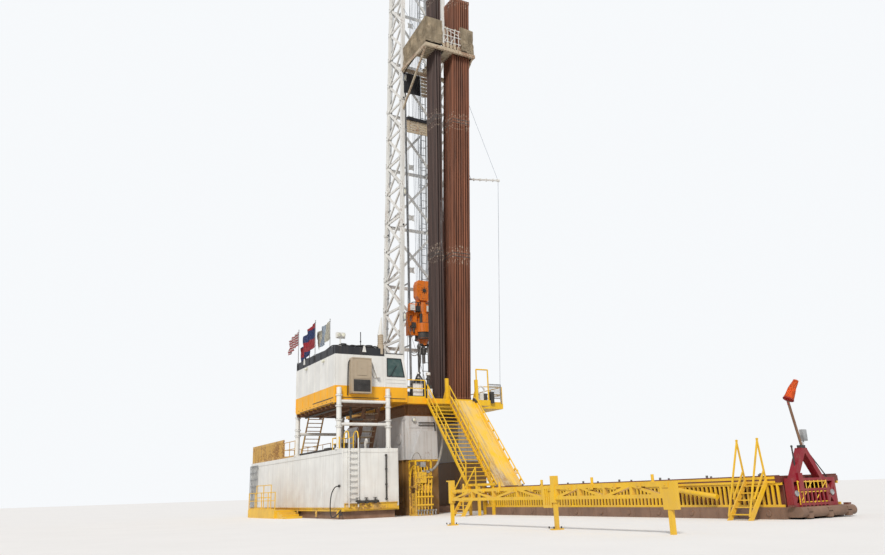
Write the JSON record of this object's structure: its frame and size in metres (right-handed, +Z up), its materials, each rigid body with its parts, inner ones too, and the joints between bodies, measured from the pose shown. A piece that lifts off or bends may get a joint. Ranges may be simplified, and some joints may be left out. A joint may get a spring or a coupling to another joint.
{
  "type": "1:2 scale model of a land drilling rig",
  "caption": "Land drilling rig as a half-size model: laced mast with hoist and racked pipe on a raised floor, with doghouse on a water tank, ramp, stairs and catwalk.",
  "frame": {"origin": "on level ground, under the middle of the whole rig's box", "axes": "+X from the well along the ramp and catwalk, +Y towards the side away from the doghouse, +Z up"},
  "size_m": [21.2, 6.68, 25.7493],
  "materials": {
    "white_paint": "weathered white enamel",
    "yellow_paint": "worn yellow enamel",
    "orange_paint": "oily orange enamel",
    "bare_steel": "greasy bare steel",
    "wire_rope": "drawn wire rope",
    "board_paint": "dusty pale paint",
    "canvas": "dusty canvas",
    "pipe_steel": "rusted pipe",
    "black_paint": "black enamel",
    "dark_glass": "tinted glass",
    "tan_paint": "tan enamel",
    "brown_paint": "rust brown enamel",
    "red_paint": "dark red enamel"
  },
  "bodies": {
    "rig": {"skid_beams": "brown_paint", "side_box_near": "white_paint", "side_box_far": "white_paint", "floor_girders": "brown_paint", "hydraulic_unit": "yellow_paint", "floor_near": "yellow_paint", "floor_far": "yellow_paint", "floor_front": "yellow_paint", "floor_rear": "yellow_paint", "rotary_table": "bare_steel", "drawworks": "white_paint", "floor_rails": "yellow_paint", "mast_side_near": "white_paint", "mast_side_far": "white_paint", "mast_rear": "white_paint", "crown_frame": "white_paint", "crown_sheaves": "bare_steel", "guide_rails": "bare_steel", "mast_ladder": "bare_steel", "drill_lines": "wire_rope", "racking_board": "board_paint", "windwalls": "canvas", "board_braces": "board_paint", "pipe_stands_near": "pipe_steel", "pipe_stands_far": "pipe_steel", "dog_floor": "yellow_paint", "dog_wall_near": "white_paint", "dog_wall_front": "white_paint", "dog_wall_rear": "white_paint", "dog_wall_far": "white_paint", "dog_roof": "black_paint", "dog_doors": "white_paint", "cab_shell": "white_paint", "cab_glass": "dark_glass", "hvac_unit": "tan_paint", "posts_front": "white_paint", "posts_rear": "white_paint", "tank_stair": "yellow_paint", "tank_walls_long": "white_paint", "tank_walls_end": "white_paint", "tank_roof": "white_paint", "tank_skid": "brown_paint", "tank_ladder": "white_paint", "tank_screen": "yellow_paint", "rear_porch": "yellow_paint", "ramp": "yellow_paint", "ramp_stair": "yellow_paint", "lower_stair": "yellow_paint", "catwalk_skid": "brown_paint", "catwalk_deck": "red_paint", "catwalk_bars": "yellow_paint", "catwalk_end": "red_paint", "windsock_pole": "brown_paint", "catwalk_stair": "yellow_paint", "rack_trusses": "yellow_paint", "rack_posts": "yellow_paint"},
    "hoist": {"top_drive": "orange_paint", "travelling_block": "yellow_paint", "elevator_links": "bare_steel"}
  },
  "joints": [
    {"name": "hoist_rise", "type": "slide", "parent": "rig", "child": "hoist", "axis": [0, 0, 1], "range_m": [0, 12.5], "deforming": ["drill_lines"]}
  ]
}
